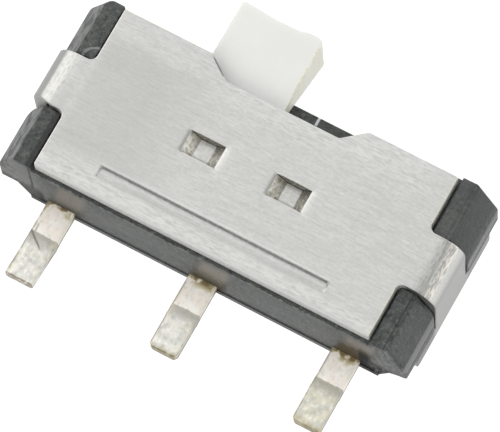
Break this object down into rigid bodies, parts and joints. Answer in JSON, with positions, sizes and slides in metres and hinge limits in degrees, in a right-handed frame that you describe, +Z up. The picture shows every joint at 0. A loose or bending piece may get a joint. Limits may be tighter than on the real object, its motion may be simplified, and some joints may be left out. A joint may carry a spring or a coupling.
{
  "type": "slide switch",
  "caption": "Miniature surface-mount slide switch: folded steel cover over a black moulded base, white side lever and gull-wing terminals.",
  "frame": {"origin": "on the board plane, under the middle of the base", "axes": "+X along the row of terminals and the lever's travel, +Y towards the lever, +Z up from the board"},
  "size_m": [0.0072, 0.0052, 0.0018],
  "materials": {
    "black_plastic": "moulded black plastic, fine grain",
    "cover_steel": "rolled steel sheet, fine brushed grain along the length",
    "white_plastic": "moulded white plastic",
    "contact_bronze": "spring bronze strip",
    "terminal_silver": "silver-plated strip, dull, with warm tarnish"
  },
  "bodies": {
    "housing": {"base": "black_plastic", "cover": "cover_steel", "terminal_left": "terminal_silver", "terminal_common": "terminal_silver", "terminal_right": "terminal_silver"},
    "slider": {"slider": "white_plastic", "moving_contact": "contact_bronze"}
  },
  "joints": [
    {"name": "lever_slide", "type": "slide", "parent": "housing", "child": "slider", "axis": [1, 0, 0], "range_m": [0, 0.00144]}
  ]
}
